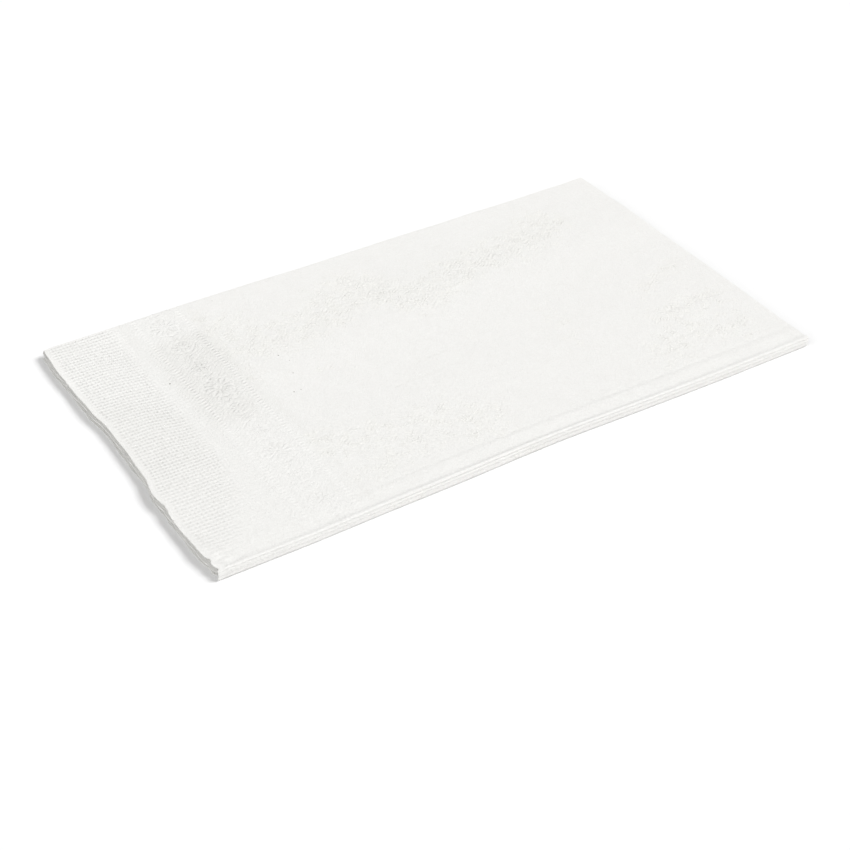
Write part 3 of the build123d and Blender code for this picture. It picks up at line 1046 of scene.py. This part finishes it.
# a leafy cross
cross_line = hump(r, maths("MULTIPLY", maths("ABSOLUTE", maths("COSINE", maths("MULTIPLY", angle, 2.0))), 3.1), 0.42)
leafy = total(maths("MULTIPLY", maths("MULTIPLY", cross_line, step_of(r, 0.3, 0.9, 0.0, 1.0, (-900, 1900))), -0.150),
              maths("MULTIPLY", hump(r, 0.0, 0.45), -0.13), maths("MULTIPLY", hump(r, 4.1, 0.38), -0.09))
# an oval ring round a beaded ring
oval = length_of(maths("MULTIPLY", u, 0.80), v)
beads = maths("COSINE", maths("MULTIPLY", angle, 9.0))
ringed = total(maths("MULTIPLY", hump(oval, 2.85, 0.42), -0.150),
               maths("MULTIPLY", hump(oval, 1.55, 0.42), maths("MULTIPLY_ADD", beads, 0.100, -0.065)),
               maths("MULTIPLY", hump(oval, 0.0, 0.45), -0.13))
# a pair of small leaves between two of them
w = maths("SUBTRACT", maths("ABSOLUTE", v), BAND_PITCH / 2)
r_between = length_of(u, w)
leaves = hump(r_between, maths("MULTIPLY", maths("ABSOLUTE", maths("SINE", maths("ARCTAN2", u, w))), 2.4), 0.38)
leaves = maths("MULTIPLY", leaves, step_of(r_between, 0.2, 0.7, 0.0, -0.135, (-900, 2100)))
leaves = maths("MULTIPLY", leaves, maths("GREATER_THAN", leaf_at, BAND_MID + 7.6))
band = total(maths("MULTIPLY", open_flower, maths("COMPARE", kind, 0.0, 0.1)),
             maths("MULTIPLY", leafy, maths("COMPARE", kind, 1.0, 0.1)),
             maths("MULTIPLY", ringed, maths("COMPARE", kind, 2.0, 0.1)))
band = maths("MULTIPLY", band, maths("MAXIMUM", corner, maths("GREATER_THAN", motif_at, BAND_MID + 9.6)))
band = maths("ADD", band, leaves)
ropes = maths("MULTIPLY", ropes, maths("MULTIPLY_ADD", stays_in.outputs["Fac"], 1.05, 0.04))
tooled = maths("MULTIPLY", maths("MULTIPLY_ADD", band, 1.17, ropes), stays_in.outputs["Fac"])

# lace work: small five-petalled flowers in cells, with veins between them
lacy_in = node(nt, "ShaderNodeAttribute", (-1050, 2300))
lacy_in.attribute_name = "lacy"
CELL = 3.8
cells = node(nt, "ShaderNodeVectorMath", (-900, 2300), operation="SCALE")
cells.inputs["Scale"].default_value = 1 / CELL
link(mm.outputs[0], cells.inputs[0])
seeds = node(nt, "ShaderNodeTexVoronoi", (-700, 2300), voronoi_dimensions="2D", feature="F1")
veins = node(nt, "ShaderNodeTexVoronoi", (-700, 2600), voronoi_dimensions="2D", feature="DISTANCE_TO_EDGE")
for tex in (seeds, veins):
    tex.inputs["Scale"].default_value = 1.0
    tex.inputs["Randomness"].default_value = 0.85
    link(cells.outputs[0], tex.inputs["Vector"])
local = node(nt, "ShaderNodeVectorMath", (-500, 2300), operation="SUBTRACT")
link(cells.outputs[0], local.inputs[0])
link(seeds.outputs["Position"], local.inputs[1])
spot = node(nt, "ShaderNodeSeparateXYZ", (-300, 2300))
link(local.outputs[0], spot.inputs[0])
pick = node(nt, "ShaderNodeSeparateColor", (-500, 2500))
link(seeds.outputs["Color"], pick.inputs[0])
spin = maths("ADD", maths("ARCTAN2", spot.outputs[1], spot.outputs[0]), maths("MULTIPLY", pick.outputs[0], 6.283))
from_seed = maths("MULTIPLY", seeds.outputs["Distance"], CELL)
petals = maths("COSINE", maths("MULTIPLY", spin, 5.0))
outline = hump(from_seed, maths("MULTIPLY_ADD", petals, 0.42, 1.22), 0.40)
vein = hump(maths("MULTIPLY", veins.outputs["Distance"], CELL), 0.0, 0.38)
broken = noise(0.30, 2.0, 0.55, (-700, 2900))
lace_there = step_of(maths("MULTIPLY_ADD", broken, 1.7, maths("MULTIPLY_ADD", lacy_in.outputs["Fac"], 1.05, -0.85)), 0.22, 0.95, 0.0, 1.0,
                     (-300, 2750))
lace_there = maths("MULTIPLY", lace_there, step_of(across, ROPE_2 + 0.5, ROPE_2 + 2.2, 0.0, 1.0, (-300, 2900)))
lace_there = maths("MULTIPLY", lace_there, step_of(drawn_in.outputs["Fac"], 0.05, 0.34, 1.0, 0.35, (-300, 3000)))
lacework = total(maths("MULTIPLY", outline, 0.118), maths("MULTIPLY", vein, -0.076),
                 maths("MULTIPLY", hump(from_seed, 0.0, 0.42), 0.118))
# a close fill of short stitches, in the lace and between the ropes
row = maths("COSINE", maths("MULTIPLY_ADD", noise(0.22, 2.0, 0.5, (-700, 3100)), 10.0, maths("MULTIPLY", at_b, 2 * math.pi / 1.38)))
stitch = maths("COSINE", maths("MULTIPLY_ADD", noise(0.27, 2.0, 0.5, (-700, 3300)), 12.0, maths("MULTIPLY", at_a, 2 * math.pi / 1.7)))
fill_in = maths("MULTIPLY", row, stitch)
between = maths("MULTIPLY", step_of(across, COIN_W + 1.0, ROPE_1, 0.0, 1.0, (-300, 1900)), step_of(across, ROPE_2 + 6.0, ROPE_2 + 1.0, 0.0, 1.0, (-300, 2000)))
fill_zone = maths("MULTIPLY", maths("MULTIPLY", between, step_of(across, ROPE_2 + 2.4, ROPE_2 + 0.6, 0.0, 1.0, (-300, 2050))),
                  maths("MULTIPLY_ADD", ladder, -0.8, 1.0, (0, 0), True))
tooled = maths("MULTIPLY_ADD", lacework, lace_there, tooled)
tooled = maths("MULTIPLY_ADD", fill_in, maths("MULTIPLY_ADD", lace_there, 0.056,
               maths("MULTIPLY", maths("MULTIPLY", fill_zone, stays_in.outputs["Fac"]), 0.072)), tooled)
# between the ropes the tissue is pressed all over, most where nothing rubbed it
pressed_in = maths("MULTIPLY", between, step_of(stays_in.outputs["Fac"], 0.55, 0.95, 0.0, 0.60, (-300, 2100)))
# the pits darkened in colour: partly the greyer tone of pressed tissue, partly painted shade in the hollows
pit_grey_and_shade = maths("MULTIPLY", pit, step_of(stays_in.outputs["Fac"], 0.97, 1.25, 1.0, 0.0, (-300, 1300)))
# the drawn grooves are darkened a little in colour as painted shade in them
pits = maths("MAXIMUM", maths("MAXIMUM", pit_grey_and_shade, maths("MULTIPLY", drawn_in.outputs["Fac"], 0.08)), pressed_in)

# a few fine creases where the top sheet was handled: a shallow groove in the relief, with painted shade along each line
crease = None
waver = maths("MULTIPLY_ADD", noise(0.20, 2.0, 0.5, (-900, 3600)), 1.6, -0.8)
broken_line = step_of(noise(0.45, 2.0, 0.6, (-900, 3800)), 0.36, 0.62, 0.15, 1.0, (-700, 3800))
for x0, x1, y0, y1, depth in ((-24, 5, -12.8, -12.2, 0.75), (-12, 6, -6.4, -5.2, 0.8), (62, 95, -22.6, -23.4, 1.0),
                              (26, 35, 42.4, 43.6, 1.0), (80, 90, -19.5, -18.5, 0.6), (-68, -40, -18.6, -19.2, 0.5)):
    slope = (y1 - y0) / (x1 - x0)
    line_b = maths("MULTIPLY_ADD", at_a, slope, float(top_b(y0)) - slope * (x0 - X_CUT))
    off_line = maths("ADD", maths("SUBTRACT", at_b, line_b), waver)
    window = maths("MULTIPLY", step_of(at_a, x0 - X_CUT, x0 - X_CUT + 4, 0.0, depth, (-700, 4000)),
                   step_of(at_a, x1 - X_CUT, x1 - X_CUT - 4, 0.0, 1.0, (-700, 4100)))
    one = maths("MULTIPLY", hump(off_line, 0.0, 0.52), window)
    crease = one if crease is None else maths("MAXIMUM", crease, one)
crease = maths("MULTIPLY", crease, broken_line)
tooled = maths("MULTIPLY_ADD", crease, -0.085, tooled)
# painted shade along the creases, on top of their groove
pits = maths("MAXIMUM", pits, maths("MULTIPLY", crease, 0.42))

base = ramp_of(cloud, 0.30, (0.894, 0.888, 0.867), 0.70, (0.908, 0.903, 0.883), (-600, 250))
grain = ramp_of(fibre, 0.30, (0.930, 0.928, 0.922), 0.62, (1.0, 1.0, 1.0), (-600, -20))
# shade: the pits, drawn grooves and creases darkened in colour, partly the greyer tone of pressed tissue and partly
# painted shade; between the ropes only the greyer tone
shade = ramp_of(pits, 0.0, (1.0, 1.0, 1.0), 1.0, (0.925, 0.922, 0.912), (-600, 500))


def times(a, b, loc):
    m = node(nt, "ShaderNodeMix", loc, data_type="RGBA", blend_type="MULTIPLY")
    m.inputs[0].default_value = 1.0
    link(a, m.inputs[6])
    link(b, m.inputs[7])
    return m.outputs[2]


warm = ramp_of(lace_there, 0.0, (1.0, 1.0, 1.0), 1.0, (1.001, 0.999, 0.988), (-600, 2750))
# crest: painted highlight, lightening the colour up to 1.16 on the rope beads, the band's motifs, the lace stitches and
# where the emboss is strongest
rope_bead_highlight = maths("MULTIPLY", ladder, twist, None, (0, 0), True)
crest = ramp_of(maths("MAXIMUM", step_of(stays_in.outputs["Fac"], 1.0, 1.35, 0.0, 0.17, (-900, 1300)),
                      maths("MAXIMUM", maths("MULTIPLY", rope_bead_highlight, maths("MULTIPLY_ADD", stays_in.outputs["Fac"], 1.0, -0.02)),
                            maths("MAXIMUM", maths("MULTIPLY", maths("MULTIPLY", band, -1.5), stays_in.outputs["Fac"]),
                                  maths("MULTIPLY", maths("MULTIPLY", fill_in, lace_there), 0.32)))),
                0.0, (1.0, 1.0, 1.0), 1.0, (1.16, 1.16, 1.16), (-600, 1450))
prev = times(times(times(times(base, grain, (-300, 150)), shade, (-200, 350)), warm, (-200, 550)), crest, (-200, 750))

# a few tiny dark specks in the paper
specks = ((-71.9, 21.9, 0.27), (-40.0, 16.6, 0.22), (-38.5, 12.9, 0.12), (-40.5, 7.3, 0.18),
          (-44.5, -0.3, 0.21), (-42.3, -0.3, 0.15), (-43.0, 51.3, 0.13))
for i, (x, y, r) in enumerate(specks):
    d = node(nt, "ShaderNodeVectorMath", (-600 + 170 * i, -800), operation="DISTANCE")
    link(mm.outputs[0], d.inputs[0])
    d.inputs[1].default_value = (x - X_CUT, float(top_b(y)), 0)
    there = step_of(d.outputs["Value"], r * 1.25, r * 0.6, 0.0, 0.75, (-600 + 170 * i, -1000))
    mix = node(nt, "ShaderNodeMix", (-100 + 170 * i, 150), data_type="RGBA", blend_type="MIX")
    link(there, mix.inputs[0])
    link(prev, mix.inputs[6])
    mix.inputs[7].default_value = (0.16, 0.145, 0.11, 1)
    prev = mix.outputs[2]
link(prev, bsdf.inputs["Base Color"])

# relief in millimetres
height = maths("MULTIPLY_ADD", crepe, 0.065, maths("MULTIPLY", fibre, 0.190))
height = maths("MULTIPLY_ADD", noise(0.38, 2.0, 0.55, (-850, -700)), 0.050, height)
height = maths("MULTIPLY_ADD", pit, -0.212, maths("ADD", height, tooled))
bump = node(nt, "ShaderNodeBump", (-250, -350))
bump.inputs["Strength"].default_value = 1.0
bump.inputs["Distance"].default_value = MM
link(height, bump.inputs["Height"])
link(bump.outputs["Normal"], bsdf.inputs["Normal"])
mesh.materials.append(paper)

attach(napkin, "root")
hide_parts("folded_napkin")

# =============================================================================
# Floor, light and world
# =============================================================================
floor_mesh = bpy.data.meshes.new("floor")
s = 6.0
floor_mesh.from_pydata([(-s, -s, 0), (s, -s, 0), (s, s, 0), (-s, s, 0)], [], [(0, 1, 2, 3)])
floor = bpy.data.objects.new("floor", floor_mesh)
bpy.context.scene.collection.objects.link(floor)
white = bpy.data.materials.new("floor_white")
white.use_nodes = True
wb = white.node_tree.nodes["Principled BSDF"]
wb.inputs["Base Color"].default_value = (0.95, 0.95, 0.95, 1)
wb.inputs["Roughness"].default_value = 1.0
wb.inputs["Specular IOR Level"].default_value = 0.0
floor_mesh.materials.append(white)


LIGHT = 3.406                           # irradiance of the floor
SKY, FILL = 0.33, 0.19                  # shares of it: from all round, from the left card


def sun(name, towards, share, degrees):
    d = Vector(towards).normalized()
    data = bpy.data.lights.new(name, "SUN")
    data.energy = share * LIGHT / d.z
    data.angle = math.radians(degrees)
    ob = bpy.data.objects.new(name, data)
    ob.rotation_euler = d.to_track_quat("Z", "Y").to_euler()
    bpy.context.scene.collection.objects.link(ob)


sun("key", (0.583, -0.340, 0.738), 1 - SKY - FILL, 28)
sun("fill", (-0.86, -0.05, 0.46), FILL, 60)
world = bpy.data.worlds.new("studio")
bpy.context.scene.world = world
world.use_nodes = True
bg = world.node_tree.nodes["Background"]
bg.inputs[0].default_value = (1, 1, 1, 1)
bg.inputs[1].default_value = SKY * LIGHT / math.pi

view = bpy.context.scene.view_settings
view.view_transform = "Standard"
view.look = "None"
view.exposure = 0.0
view.gamma = 1.0
